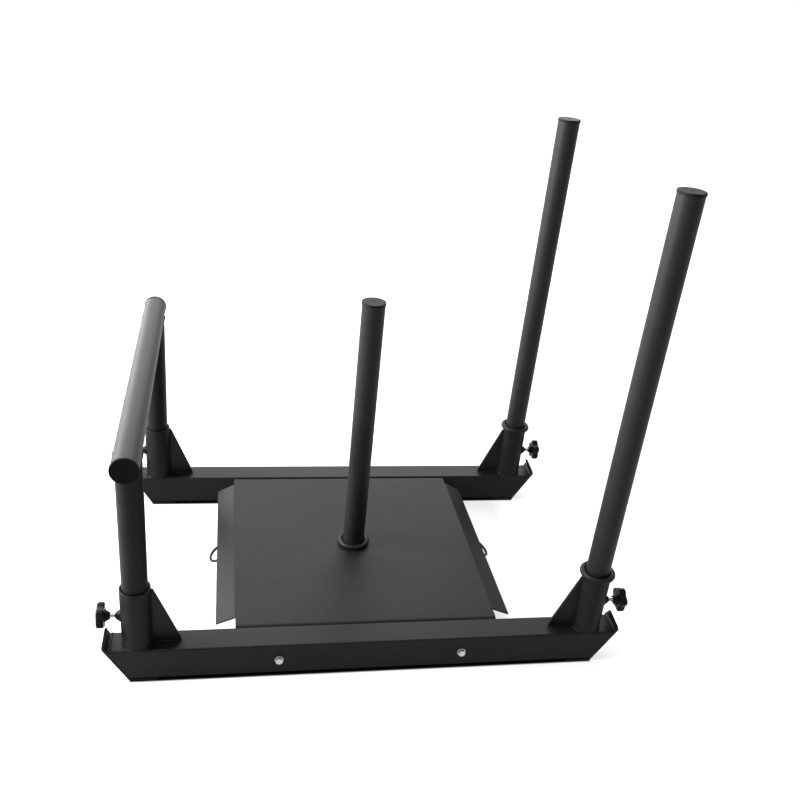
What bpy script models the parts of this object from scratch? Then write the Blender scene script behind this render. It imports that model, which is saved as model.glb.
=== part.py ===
"""A push and pull weight sled: two raked skids, a folded deck, a weight post, two tall push poles
and a low push bar held in clamped sockets. X runs along the skids, Y across the sled and Z up.
The origin is on the floor under the centre post. All sizes are in metres."""

from math import cos, pi, radians, sin, tan

import bmesh
import bpy
from mathutils import Euler, Matrix, Vector

# Clearances
GAP = 0.0003                  # between two pieces that touch or are welded
SLIP = 0.001                  # radial play of a post in its socket

# Skids: rectangular tube with raked ends
SKID_WIDTH = 0.057
SKID_HEIGHT = 0.0695
SKID_WALL = 0.003
SKID_CORNER = 0.004
SKID_LENGTH = 1.0134          # along the top face
SKID_SPACING = 0.608          # between the skids' centre lines
NOSE_RAKE = 0.0417            # how far the underside of a skid end stands back

# Nose plates: bent flat bar round each skid end
NOSE_THICK = 0.005
NOSE_BEND = 0.001             # inside radius of the bend under the skid
LIP_LENGTH = 0.050
EAR_HEIGHT = 0.036            # to its sharp corner, before the tip is rounded
EAR_LEAN = radians(27)
EAR_BEND = 0.0045             # inside radius of the bend at its foot
EAR_BEND_RISE = 0.008         # that bend's inner corner, above the skid
EAR_TIP_RADIUS = 0.004
EAR_SHOULDER = 0.006          # where its sides start, above the skid
EAR_HOLE = 0.010
EAR_HOLE_HEIGHT = 0.0155

# Round tubes: posts, poles and push bar
TUBE_OD = 0.048
TUBE_WALL = 0.0025

# Sockets and gussets
SOCKET_WALL = 0.004
SOCKET_HEIGHT = 0.1303
SOCKET_SETBACK = 0.0537       # socket axis to the top end of the skid
SOCKET_CHAMFER = 0.0015
GUSSET_THICK = 0.005
GUSSET_FOOT = 0.0525
GUSSET_RISE = 0.1248
GUSSET_TOE = 0.006

# Clamp screws
CLAMP_HEIGHT = 0.0653         # axis above the skid
STUD_OD = 0.008
STUD_SHOWING = 0.009          # bare thread between boss and knob
STUD_GRIP = 0.011             # thread moulded into the knob
STUD_CHAMFER = 0.001
BOSS_LENGTH = 0.0085
BOSS_CONE = 0.0075            # tapered part of the boss
BOSS_ROOT_OD = 0.022
BOSS_TIP_OD = 0.0115
KNOB_OD = 0.0515
KNOB_THICK = 0.0135           # without its dome
KNOB_DOME = 0.002
KNOB_DOME_OD = 0.021          # flat middle of the dome
KNOB_EDGE = 0.0022
KNOB_LOBES = 5
KNOB_LOBE_DEPTH = 0.0055
HUB_LENGTH = 0.010
HUB_TIP_OD = 0.0125
HUB_ROOT_OD = 0.024

# Deck: one folded sheet
DECK_THICK = 0.003
DECK_BEND = 0.002             # inside radius of the folds at the wings
FLANGE_BEND = 0.005           # inside radius of the folds at the skids
DECK_LENGTH = 0.5365          # flat part, between the wing folds
DECK_DROP = 0.0005            # deck top below skid top
FLANGE_DEPTH = 0.053
WING_LENGTH = 0.041
WING_ANGLE = radians(25.9)
WING_NOTCH = 0.030            # wing root to the side of the deck
WING_TAPER = 0.0035

# Centre post and its socket under the deck
POST_HEIGHT = 0.5835          # above the deck, without the cap
POST_INSERT = 0.054           # below the deck top
DECK_SOCKET_LENGTH = 0.055

# Tall push poles
POLE_HEIGHT = 0.7772          # above the socket, without the cap
POLE_FOOT_GAP = 0.002         # under the foot of a pole in its socket

# Low push bar
BAR_HEIGHT = 0.4196           # cross tube axis above the skid
BAR_OVERHANG = 0.057          # cross tube past each upright's axis, without its caps

# Rings and caps
RING_SECTION = 0.0115
CAP_OD = 0.050
CAP_THICK = 0.0045
CAP_ROUND = 0.0015
CAP_PLUG = 0.014

# Tow loops
LOOP_ROD = 0.006
LOOP_RADIUS = 0.025
LOOP_INSET = 0.004            # half ring centre inside the wing edge
LOOP_TILT = radians(35)       # half ring below the horizontal
LOOP_LEG = 0.016

# Deck bolts
BOLT_OD = 0.008
BOLT_HEAD_AF = 0.013
BOLT_HEAD_THICK = 0.0053
BOLT_FACE_OD = 0.012          # round face left by the chamfer of a head or nut
BOLT_CHAMFER = 0.0008
BOLT_SPACING = 0.368
BOLT_DEPTH = 0.0344           # axis below the skid top
BOLT_TAIL = 0.003
NUT_THICK = 0.0065
WASHER_OD = 0.017
WASHER_THICK = 0.0016

# Faceting
TUBE_STEPS = 32
SMALL_STEPS = 16
HEX_STEPS = 12
RING_STEPS = 8                # round the section of a ring
LOBE_STEPS = 6                # along one lobe of a knob

# Derived places
SKID_BOTTOM = NOSE_THICK + GAP
SKID_TOP = SKID_BOTTOM + SKID_HEIGHT
SKID_Y = SKID_SPACING / 2
TUBE_R = TUBE_OD / 2
BORE_R = TUBE_R + SLIP
SOCKET_R = BORE_R + SOCKET_WALL
SOCKET_X = SKID_LENGTH / 2 - SOCKET_SETBACK
SOCKET_TOP = SKID_TOP + GAP + SOCKET_HEIGHT
CLAMP_Z = SKID_TOP + CLAMP_HEIGHT
BOSS_TIP = SOCKET_R + GAP + BOSS_LENGTH
HUB_TIP = BOSS_TIP + STUD_SHOWING
KNOB_BASE = HUB_TIP + HUB_LENGTH
DECK_TOP = SKID_TOP - DECK_DROP
DECK_SIDE = SKID_Y - SKID_WIDTH / 2 - GAP
BAR_LENGTH = SKID_SPACING + 2 * BAR_OVERHANG
BAR_Z = SKID_TOP + BAR_HEIGHT
RING_R = TUBE_R + GAP + RING_SECTION / 2
BOLT_Z = SKID_TOP - BOLT_DEPTH

ENDS = (("left", -1, pi), ("right", 1, 0.0))
SIDES = (("near", -1), ("far", 1))
KNOB_TURNS = {"near_left": 0.0, "near_right": pi, "far_left": pi / 5, "far_right": pi / 3}

# Turns that stand a flat outline up: across the sled, or along it, and a turned piece on its side
ACROSS = Euler((pi / 2, 0, pi / 2)).to_matrix().to_4x4()
UPRIGHT = Euler((pi / 2, 0, 0)).to_matrix().to_4x4()
ALONG_X = Matrix.Rotation(pi / 2, 4, "Y")
ALONG_Y = Matrix.Rotation(-pi / 2, 4, "X")


def clear_scene():
    for obj in list(bpy.data.objects):
        bpy.data.objects.remove(obj, do_unlink=True)
    for collection in list(bpy.data.collections):
        bpy.data.collections.remove(collection)


def new_collection(name):
    collection = bpy.data.collections.new(name)
    bpy.context.scene.collection.children.link(collection)
    return collection


clear_scene()
PARTS = new_collection("weight_sled")
CUTTERS = new_collection("cutters")


def finish(name, colour, roughness, metallic=0.0):
    """A painted, plated or moulded finish as a Principled material."""
    material = bpy.data.materials.new(name)
    material.use_nodes = True
    shader = material.node_tree.nodes["Principled BSDF"]
    shader.inputs["Base Color"].default_value = (*colour, 1.0)
    shader.inputs["Roughness"].default_value = roughness
    shader.inputs["Metallic"].default_value = metallic
    return material


def powder_coat(name):
    return finish(name, (0.022, 0.022, 0.023), 0.55)


def plastic(name):
    return finish(name, (0.018, 0.018, 0.019), 0.42)


def zinc(name):
    return finish(name, (0.62, 0.62, 0.60), 0.32, 1.0)


def carrier(name, location, turn=0.0):
    """An empty on a joint axis that carries the pieces of one moving body, turned about X."""
    empty = bpy.data.objects.new(name, None)
    empty.location = location
    empty.rotation_euler = (turn, 0, 0)
    empty.empty_display_size = 0.05
    PARTS.objects.link(empty)
    return empty


def place(name, mesh, material, location=(0, 0, 0), turn=0.0, parent=None):
    """Put a piece in the assembly, turned about Z, under its parent where it has one."""
    if not mesh.materials:
        mesh.materials.append(material)
    obj = bpy.data.objects.new(name, mesh)
    obj.rotation_euler = (0, 0, turn)
    obj.location = Vector(location) - (parent.location if parent else Vector())
    obj.parent = parent
    PARTS.objects.link(obj)
    return obj


def baked(obj):
    """The evaluated mesh of a working object, which is then removed."""
    bpy.context.view_layer.update()
    graph = bpy.context.evaluated_depsgraph_get()
    mesh = bpy.data.meshes.new_from_object(obj.evaluated_get(graph), depsgraph=graph)
    bpy.data.objects.remove(obj, do_unlink=True)
    shape = bmesh.new()
    shape.from_mesh(mesh)
    bmesh.ops.remove_doubles(shape, verts=shape.verts, dist=1e-6)
    shape.to_mesh(mesh)
    shape.free()
    mesh.shade_smooth()
    mesh.set_sharp_from_angle(angle=radians(32))
    return mesh


def working(name, data):
    obj = bpy.data.objects.new(name, data)
    PARTS.objects.link(obj)
    return obj


def filleted(points, radii, steps=4, closed=False):
    """A 2D path whose corners are arcs; a radius of 0 leaves a corner sharp."""
    path = []
    count = len(points)
    for i, point in enumerate(points):
        corner = Vector(point)
        radius = radii[i]
        if radius == 0 or (not closed and i in (0, count - 1)):
            path.append(corner)
            continue
        before = (Vector(points[i - 1]) - corner).normalized()
        after = (Vector(points[(i + 1) % count]) - corner).normalized()
        half = before.angle(after) / 2
        centre = corner + (before + after).normalized() * radius / sin(half)
        spoke = corner + before * radius / tan(half) - centre
        sweep = pi - 2 * half
        if before.cross(after) > 0:
            sweep = -sweep
        for k in range(steps + 1):
            path.append(centre + Matrix.Rotation(sweep * k / steps, 2) @ spoke)
    return path


def extrusion(outlines, thickness, stand):
    """A flat outline, with any inner outlines as holes, given thickness and stood up."""
    curve = bpy.data.curves.new("outline", "CURVE")
    curve.dimensions = "2D"
    curve.fill_mode = "BOTH"
    curve.extrude = thickness / 2
    for outline in outlines:
        spline = curve.splines.new("POLY")
        spline.points.add(len(outline) - 1)
        for point, (x, y) in zip(spline.points, outline):
            point.co = (x, y, 0, 1)
        spline.use_cyclic_u = True
    mesh = baked(working("extrusion", curve))
    mesh.transform(stand)
    return mesh


def turned(profile, steps, ring=False):
    """A profile of (radius, height) points swept round Z, listed down its outer side."""
    mesh = bpy.data.meshes.new("profile")
    last = len(profile) - 1
    edges = [(i, i + 1) for i in range(last)]
    if ring:
        edges.append((last, 0))
    mesh.from_pydata([(r, 0, z) for r, z in profile], edges, [])
    obj = working("turned", mesh)
    screw = obj.modifiers.new("Screw", "SCREW")
    screw.axis = "Z"
    screw.angle = 2 * pi
    screw.steps = steps
    screw.render_steps = steps
    screw.use_merge_vertices = True
    screw.merge_threshold = 1e-6
    return baked(obj)


def tube(radius, wall, bottom, top, steps=TUBE_STEPS):
    inner = radius - wall
    return turned([(radius, top), (radius, bottom), (inner, bottom), (inner, top)], steps, ring=True)


def loft(sections, ring=False):
    """Skin a row of sections with the same number of points, capped at both ends or closed."""
    shape = bmesh.new()
    rows = [[shape.verts.new(point) for point in section] for section in sections]
    pairs = list(zip(rows, rows[1:]))
    if ring:
        pairs.append((rows[-1], rows[0]))
    for row, following in pairs:
        for i in range(len(row)):
            j = (i + 1) % len(row)
            shape.faces.new((row[i], row[j], following[j], following[i]))
    if not ring:
        shape.faces.new(rows[0])
        shape.faces.new(rows[-1])
    bmesh.ops.recalc_face_normals(shape, faces=shape.faces)
    mesh = bpy.data.meshes.new("loft")
    shape.to_mesh(mesh)
    shape.free()
    mesh.shade_smooth()
    mesh.set_sharp_from_angle(angle=radians(32))
    return mesh


def round_section(radius, height, steps, lobes=0, depth=0.0):
    points = []
    for i in range(steps):
        angle = 2 * pi * i / steps
        reach = radius - depth * (1 - cos(lobes * angle)) / 2
        points.append((reach * cos(angle), reach * sin(angle), height))
    return points


def hex_section(across_flats, height):
    points = []
    for i in range(HEX_STEPS):
        angle = 2 * pi * i / HEX_STEPS
        reach = across_flats / 2 / cos((angle % (pi / 3)) - pi / 6)
        points.append((reach * cos(angle), reach * sin(angle), height))
    return points


def cutter(name, mesh, location=(0, 0, 0)):
    obj = bpy.data.objects.new(name, mesh)
    obj.location = location
    obj.hide_render = True
    obj.display_type = "WIRE"
    CUTTERS.objects.link(obj)
    return obj


def drill(name, radius, length, stand, location, steps=SMALL_STEPS):
    """A round cutter whose middle is at the location."""
    half = length / 2
    rod = turned([(0, half), (radius, half), (radius, -half), (0, -half)], steps)
    rod.transform(stand)
    return cutter(name, rod, location)


def cut(mesh, cutters):
    """The mesh less its cutters, by exact Booleans."""
    obj = working("cut", mesh)
    for tool in cutters:
        boolean = obj.modifiers.new(tool.name, "BOOLEAN")
        boolean.operation = "DIFFERENCE"
        boolean.solver = "EXACT"
        boolean.object = tool
    return baked(obj)


def sheet(shape, thickness):
    """A folded surface given its wall on the inner side."""
    mesh = bpy.data.meshes.new("sheet")
    shape.to_mesh(mesh)
    shape.free()
    obj = working("sheet", mesh)
    wall = obj.modifiers.new("Wall", "SOLIDIFY")
    wall.thickness = thickness
    wall.offset = -1
    wall.use_even_offset = True
    return baked(obj)


def skid_mesh():
    """Hollow rectangular tube, mitred at both ends and drilled for the deck bolts."""
    def rectangle(margin, radius):
        y = SKID_WIDTH / 2 - margin
        low = SKID_BOTTOM + margin
        high = SKID_TOP - margin
        return filleted([(-y, low), (y, low), (y, high), (-y, high)], [radius] * 4, steps=3, closed=True)

    outlines = [rectangle(0, SKID_CORNER), rectangle(SKID_WALL, SKID_CORNER - SKID_WALL)]
    bar = extrusion(outlines, SKID_LENGTH, ACROSS)
    end = SKID_LENGTH / 2
    over = SKID_WALL
    slope = NOSE_RAKE / SKID_HEIGHT
    cutters = []
    for side, sign, _ in ENDS:
        wedge = [
            (sign * (end + over * slope), SKID_TOP + over),
            (sign * (end - NOSE_RAKE - over * slope), SKID_BOTTOM - over),
            (sign * (end + NOSE_RAKE), SKID_BOTTOM - over),
            (sign * (end + NOSE_RAKE), SKID_TOP + over),
        ]
        mesh = extrusion([wedge], SKID_WIDTH + 2 * over, UPRIGHT)
        cutters.append(cutter("mitre_" + side, mesh))
    for sign in (-1, 1):
        place_at = (sign * BOLT_SPACING / 2, 0, BOLT_Z)
        cutters.append(drill("skid_drill", BOLT_OD / 2 + GAP, SKID_WIDTH * 2, ALONG_Y, place_at))
    return cut(bar, cutters)


def nose_mesh():
    """Bent flat bar for the right end of a skid: lip, raked front and pointed ear."""
    slope = NOSE_RAKE / SKID_HEIGHT
    stand_off = GAP * (1 + slope * slope) ** 0.5
    bend_x = SKID_LENGTH / 2 + stand_off
    foot_x = bend_x - (SKID_TOP - NOSE_THICK) * slope
    corner_x = bend_x + EAR_BEND_RISE * slope
    ear_top = SKID_TOP + EAR_HEIGHT
    path = filleted(
        [
            (foot_x - LIP_LENGTH, NOSE_THICK),
            (foot_x, NOSE_THICK),
            (corner_x, SKID_TOP + EAR_BEND_RISE),
            (corner_x - (EAR_HEIGHT - EAR_BEND_RISE) * tan(EAR_LEAN), ear_top),
        ],
        [0, NOSE_BEND, EAR_BEND, 0],
    )
    shape = bmesh.new()
    half = SKID_WIDTH / 2
    near = [shape.verts.new((x, -half, z)) for x, z in path]
    far = [shape.verts.new((x, half, z)) for x, z in path]
    for i in range(len(path) - 1):
        shape.faces.new((near[i], near[i + 1], far[i + 1], far[i]))
    bar = sheet(shape, NOSE_THICK)

    past = half * 1.2
    low = ear_top - (EAR_HEIGHT - EAR_SHOULDER) * past / half
    high = ear_top + NOSE_THICK
    outline = filleted([(-past, low), (0, ear_top), (past, low)], [0, EAR_TIP_RADIUS, 0], steps=6)
    outline += [(past, high), (-past, high)]
    trim = extrusion([outline], EAR_HEIGHT * 2, ACROSS)
    cutters = [
        cutter("ear_trim", trim, (bend_x, 0, 0)),
        drill("ear_drill", EAR_HOLE / 2, EAR_HEIGHT * 2, ALONG_X, (bend_x, 0, SKID_TOP + EAR_HOLE_HEIGHT)),
    ]
    return cut(bar, cutters)


def socket_mesh():
    """Upright tube with a softened rim and a hole for the clamp stud on its +X side."""
    top = SOCKET_HEIGHT
    rim = SOCKET_CHAMFER
    profile = filleted(
        [(BORE_R, top), (SOCKET_R, top), (SOCKET_R, 0), (BORE_R, 0)], [0, rim, 0, 0], steps=2, closed=True
    )
    body = turned(profile, TUBE_STEPS, ring=True)
    reach = SOCKET_R * 2
    height = CLAMP_HEIGHT - GAP
    hole = drill("socket_drill", STUD_OD / 2 + GAP, reach, ALONG_X, (reach / 2, 0, height))
    return cut(body, [hole])


def gusset_mesh():
    """Triangular plate from the socket down to the skid, for a socket at the right end."""
    start = -(SOCKET_R + GAP)
    toe = start - GUSSET_FOOT
    outline = [
        (start, 0),
        (start, GUSSET_RISE),
        (start - GUSSET_TOE, GUSSET_RISE),
        (toe, GUSSET_TOE),
        (toe, 0),
    ]
    return extrusion([outline], GUSSET_THICK, UPRIGHT)


def boss_mesh():
    """Threaded boss, saddled to the socket."""
    inner = BORE_R
    root = BOSS_ROOT_OD / 2
    shoulder = BOSS_TIP - BOSS_CONE
    hole = STUD_OD / 2 + GAP
    profile = [
        (hole, BOSS_TIP),
        (BOSS_TIP_OD / 2, BOSS_TIP),
        (root, shoulder),
        (root, inner),
        (hole, inner),
    ]
    body = turned(profile, SMALL_STEPS, ring=True)
    body.transform(ALONG_X)
    height = BOSS_ROOT_OD * 2
    saddle = drill("boss_saddle", SOCKET_R + GAP, height, Matrix(), (0, 0, 0), TUBE_STEPS)
    return cut(body, [saddle])


def stud_mesh():
    """Clamp stud from the face of the post to the inside of the knob."""
    start = TUBE_R + GAP
    end = KNOB_BASE + STUD_GRIP
    chamfer = STUD_CHAMFER
    radius = STUD_OD / 2
    body = turned(
        [
            (0, end),
            (radius - chamfer, end),
            (radius, end - chamfer),
            (radius, start + chamfer),
            (radius - chamfer, start),
            (0, start),
        ],
        SMALL_STEPS,
    )
    body.transform(ALONG_X)
    return body


def knob_mesh():
    """Lobed hand knob with a conical hub, lofted from the bottom of its bore to its domed face.
    One lobe points up."""
    steps = KNOB_LOBES * LOBE_STEPS
    radius = KNOB_OD / 2
    bore = STUD_OD / 2 + GAP
    edge = KNOB_EDGE
    face = KNOB_BASE + KNOB_THICK
    sections = [
        (bore, KNOB_BASE + STUD_GRIP + GAP, 0),
        (bore, HUB_TIP, 0),
        (HUB_TIP_OD / 2, HUB_TIP, 0),
        (HUB_ROOT_OD / 2, KNOB_BASE, 0),
        (radius - edge, KNOB_BASE, 0.8),
        (radius, KNOB_BASE + edge, 1),
        (radius, face - edge, 1),
        (radius - edge, face, 0.8),
        (KNOB_DOME_OD / 2, face + KNOB_DOME, 0),
    ]
    rows = [round_section(r, h, steps, KNOB_LOBES, KNOB_LOBE_DEPTH * lobe) for r, h, lobe in sections]
    mesh = loft(rows)
    mesh.transform(ALONG_X @ Matrix.Rotation(pi, 4, "Z"))
    return mesh


def deck_mesh():
    """Folded sheet: flat top, a flange down each skid and a wing bent down at each end."""
    flange_bend = FLANGE_BEND + DECK_THICK
    wing_bend = DECK_BEND + DECK_THICK
    x = DECK_LENGTH / 2
    side = DECK_SIDE - flange_bend
    root = DECK_SIDE - WING_NOTCH
    shape = bmesh.new()
    rows = []
    for y in (-side, -root, root, side):
        rows.append([shape.verts.new((-x, y, DECK_TOP)), shape.verts.new((x, y, DECK_TOP))])
    for row, following in zip(rows, rows[1:]):
        shape.faces.new((row[0], row[1], following[1], following[0]))
    shape.edges.ensure_lookup_table()

    def fold(verts, centre, axis, angle, steps, straight, taper=1.0):
        edge = shape.edges.get(verts)
        bent = bmesh.ops.spin(
            shape, geom=[edge, *verts], cent=centre, axis=axis, angle=angle, steps=steps
        )["geom_last"]
        edges = [item for item in bent if isinstance(item, bmesh.types.BMEdge)]
        wall = bmesh.ops.extrude_edge_only(shape, edges=edges)["geom"]
        tip = [item for item in wall if isinstance(item, bmesh.types.BMVert)]
        bmesh.ops.translate(shape, verts=tip, vec=straight)
        for vert in tip:
            vert.co.y *= taper

    for sign, row in ((-1, rows[0]), (1, rows[3])):
        centre = (0, sign * side, DECK_TOP - flange_bend)
        down = (0, 0, flange_bend - FLANGE_DEPTH)
        fold(row, centre, (1, 0, 0), -sign * pi / 2, 4, down)
    for sign, column in ((-1, 0), (1, 1)):
        verts = (rows[1][column], rows[2][column])
        centre = (sign * x, 0, DECK_TOP - wing_bend)
        out = (sign * WING_LENGTH * cos(WING_ANGLE), 0, -WING_LENGTH * sin(WING_ANGLE))
        fold(verts, centre, (0, 1, 0), sign * WING_ANGLE, 2, out, taper=1 - WING_TAPER / root)
    bmesh.ops.recalc_face_normals(shape, faces=shape.faces)
    top = max(shape.faces, key=lambda face: face.calc_area())
    if top.normal.z < 0:
        bmesh.ops.reverse_faces(shape, faces=shape.faces)
    plate = sheet(shape, DECK_THICK)

    cutters = [drill("post_drill", BORE_R, DECK_THICK * 6, Matrix(), (0, 0, DECK_TOP), TUBE_STEPS)]
    for sign in (-1, 1):
        centre = (sign * BOLT_SPACING / 2, 0, BOLT_Z)
        cutters.append(drill("flange_drill", BOLT_OD / 2 + GAP, SKID_SPACING, ALONG_Y, centre))
    return cut(plate, cutters)


def cap_mesh():
    """End cap: a rounded flange on the tube end and a plug inside it."""
    flange = CAP_OD / 2
    plug = TUBE_R - TUBE_WALL - GAP
    high = GAP + CAP_THICK
    profile = filleted(
        [(0, high), (flange, high), (flange, GAP), (plug, GAP), (plug, -CAP_PLUG), (0, -CAP_PLUG)],
        [0, CAP_ROUND, 0, 0, 0, 0],
        steps=2,
    )
    return turned(profile, TUBE_STEPS)


def ring_mesh():
    """Round ring fixed on a post, whose underside rests on the socket or the deck."""
    bpy.ops.mesh.primitive_torus_add(
        major_radius=RING_R,
        minor_radius=RING_SECTION / 2,
        major_segments=TUBE_STEPS,
        minor_segments=RING_STEPS,
    )
    obj = bpy.context.object
    mesh = obj.data
    bpy.data.objects.remove(obj, do_unlink=True)
    mesh.transform(Matrix.Translation((0, 0, GAP + RING_SECTION / 2)))
    mesh.shade_smooth()
    return mesh


def upright_mesh():
    """Push bar upright, coped round the underside of the cross tube."""
    body = tube(TUBE_R, TUBE_WALL, GAP, BAR_HEIGHT - TUBE_WALL)
    cope = drill("bar_cope", TUBE_R + GAP, TUBE_OD * 2, ALONG_Y, (0, 0, BAR_HEIGHT), TUBE_STEPS)
    return cut(body, [cope])


def loop_mesh():
    """Tow loop for the right wing: a half ring of rod that hangs from two legs under the wing."""
    slope = Vector((cos(WING_ANGLE), 0, -sin(WING_ANGLE)))
    hang = Vector((cos(LOOP_TILT), 0, -sin(LOOP_TILT)))
    below = Vector((-sin(WING_ANGLE), 0, -cos(WING_ANGLE)))
    bend = DECK_BEND + DECK_THICK
    corner = Vector((DECK_LENGTH / 2, 0, DECK_TOP - bend))
    edge = corner - below * bend + slope * WING_LENGTH
    centre = edge - slope * LOOP_INSET + below * (DECK_THICK + GAP + LOOP_ROD / 2)
    points = [centre - slope * LOOP_LEG + Vector((0, -LOOP_RADIUS, 0))]
    steps = 12
    for k in range(steps + 1):
        angle = pi * k / steps - pi / 2
        points.append(centre + LOOP_RADIUS * (hang * cos(angle) + Vector((0, sin(angle), 0))))
    points.append(centre - slope * LOOP_LEG + Vector((0, LOOP_RADIUS, 0)))
    curve = bpy.data.curves.new("loop", "CURVE")
    curve.dimensions = "3D"
    curve.bevel_depth = LOOP_ROD / 2
    curve.bevel_resolution = 2
    curve.use_fill_caps = True
    spline = curve.splines.new("POLY")
    spline.points.add(len(points) - 1)
    for target, point in zip(spline.points, points):
        target.co = (*point, 1)
    return baked(working("rod", curve))


def bolt_mesh():
    """Hexagon bolt along +Y, from the outer face of a skid to its tail past the nut."""
    grip = WASHER_THICK + 2 * GAP + SKID_WIDTH + GAP + DECK_THICK + GAP + NUT_THICK + BOLT_TAIL
    radius = BOLT_OD / 2
    chamfer = BOLT_CHAMFER
    head = WASHER_THICK + 2 * GAP
    top = head + BOLT_HEAD_THICK
    rows = [
        round_section(BOLT_FACE_OD / 2, top, HEX_STEPS),
        hex_section(BOLT_HEAD_AF, top - chamfer),
        hex_section(BOLT_HEAD_AF, head),
        round_section(radius, head, HEX_STEPS),
        round_section(radius, head - grip + chamfer, HEX_STEPS),
        round_section(radius - chamfer, head - grip, HEX_STEPS),
    ]
    mesh = loft(rows)
    mesh.transform(Matrix.Rotation(pi / 2, 4, "X"))
    return mesh


def nut_mesh():
    """Hexagon nut along +Y, seated on the inside of the deck flange."""
    seat = SKID_WIDTH + GAP + DECK_THICK + GAP
    hole = BOLT_OD / 2 + GAP
    chamfer = BOLT_CHAMFER
    rows = [
        hex_section(BOLT_HEAD_AF, seat),
        hex_section(BOLT_HEAD_AF, seat + NUT_THICK - chamfer),
        round_section(BOLT_FACE_OD / 2, seat + NUT_THICK, HEX_STEPS),
        round_section(hole, seat + NUT_THICK, HEX_STEPS),
        round_section(hole, seat, HEX_STEPS),
    ]
    mesh = loft(rows, ring=True)
    mesh.transform(ALONG_Y)
    return mesh


def washer_mesh():
    """Flat washer under the bolt head, on the outer face of the skid."""
    hole = BOLT_OD / 2 + GAP
    body = tube(WASHER_OD / 2, WASHER_OD / 2 - hole, -GAP - WASHER_THICK, -GAP, SMALL_STEPS)
    body.transform(ALONG_Y)
    return body


def build_base():
    """Skids, nose plates, sockets, gussets, bosses and clamp screws."""
    coat = powder_coat("skid_coat")
    nose_coat = powder_coat("nose_coat")
    socket_coat = powder_coat("socket_coat")
    boss_coat = powder_coat("boss_coat")
    gusset_coat = powder_coat("gusset_coat")
    stud_zinc = zinc("stud_zinc")
    knob_plastic = plastic("knob_plastic")
    skid, nose, socket, gusset = skid_mesh(), nose_mesh(), socket_mesh(), gusset_mesh()
    boss, stud, knob = boss_mesh(), stud_mesh(), knob_mesh()
    for side, across in SIDES:
        y = across * SKID_Y
        place("skid_tube_" + side, skid, coat, (0, y, 0))
        for end, along, turn in ENDS:
            name = "_" + side + "_" + end
            foot = (along * SOCKET_X, y, SKID_TOP + GAP)
            axis = (along * SOCKET_X, y, CLAMP_Z)
            place("nose_plate" + name, nose, nose_coat, (0, y, 0), turn)
            place("socket" + name, socket, socket_coat, foot, turn)
            place("gusset" + name, gusset, gusset_coat, foot, turn)
            place("clamp_boss" + name, boss, boss_coat, axis, turn)
            screw = carrier("clamp_screw" + name, axis, KNOB_TURNS[side + "_" + end])
            place("clamp_stud" + name, stud, stud_zinc, axis, turn, screw)
            place("clamp_knob" + name, knob, knob_plastic, axis, turn, screw)


def build_deck():
    """Deck plate with its socket, tow loops, bolts, washers and nuts."""
    place("deck_plate", deck_mesh(), powder_coat("deck_coat"))
    under = DECK_TOP - DECK_THICK - GAP
    socket = tube(SOCKET_R, SOCKET_WALL, under - DECK_SOCKET_LENGTH, under)
    place("deck_socket", socket, powder_coat("deck_socket_coat"))
    loop = loop_mesh()
    loop_coat = powder_coat("loop_coat")
    for end, _, turn in ENDS:
        place("tow_loop_" + end, loop, loop_coat, (0, 0, 0), turn)
    bolt, nut, washer = bolt_mesh(), nut_mesh(), washer_mesh()
    bolt_zinc, nut_zinc, washer_zinc = zinc("bolt_zinc"), zinc("nut_zinc"), zinc("washer_zinc")
    face = SKID_Y + SKID_WIDTH / 2
    for side, across in SIDES:
        turn = 0.0 if across < 0 else pi
        for end, along, _ in ENDS:
            name = "_" + side + "_" + end
            centre = (along * BOLT_SPACING / 2, across * face, BOLT_Z)
            place("deck_bolt" + name, bolt, bolt_zinc, centre, turn)
            place("deck_washer" + name, washer, washer_zinc, centre, turn)
            place("deck_nut" + name, nut, nut_zinc, centre, turn)


def build_posts():
    """The centre post and the two tall poles, each with its cap and ring."""
    ring, cap = ring_mesh(), cap_mesh()
    ring_coat = powder_coat("ring_coat")
    cap_plastic = plastic("cap_plastic")
    post = tube(TUBE_R, TUBE_WALL, -POST_INSERT, POST_HEIGHT)
    body = carrier("centre_post_axis", (0, 0, DECK_TOP))
    place("centre_post", post, powder_coat("post_coat"), body.location, 0.0, body)
    place("centre_post_cap", cap, cap_plastic, (0, 0, DECK_TOP + POST_HEIGHT), 0.0, body)
    place("centre_post_ring", ring, ring_coat, body.location, 0.0, body)

    foot = SKID_TOP + GAP + POLE_FOOT_GAP - SOCKET_TOP
    pole = tube(TUBE_R, TUBE_WALL, foot, POLE_HEIGHT)
    pole_coat = powder_coat("pole_coat")
    for side, across in SIDES:
        seat = Vector((SOCKET_X, across * SKID_Y, SOCKET_TOP))
        body = carrier("push_pole_axis_" + side, seat)
        place("push_pole_" + side, pole, pole_coat, seat, 0.0, body)
        place("push_pole_cap_" + side, cap, cap_plastic, seat + Vector((0, 0, POLE_HEIGHT)), 0.0, body)
        place("push_pole_ring_" + side, ring, ring_coat, seat, 0.0, body)


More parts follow.
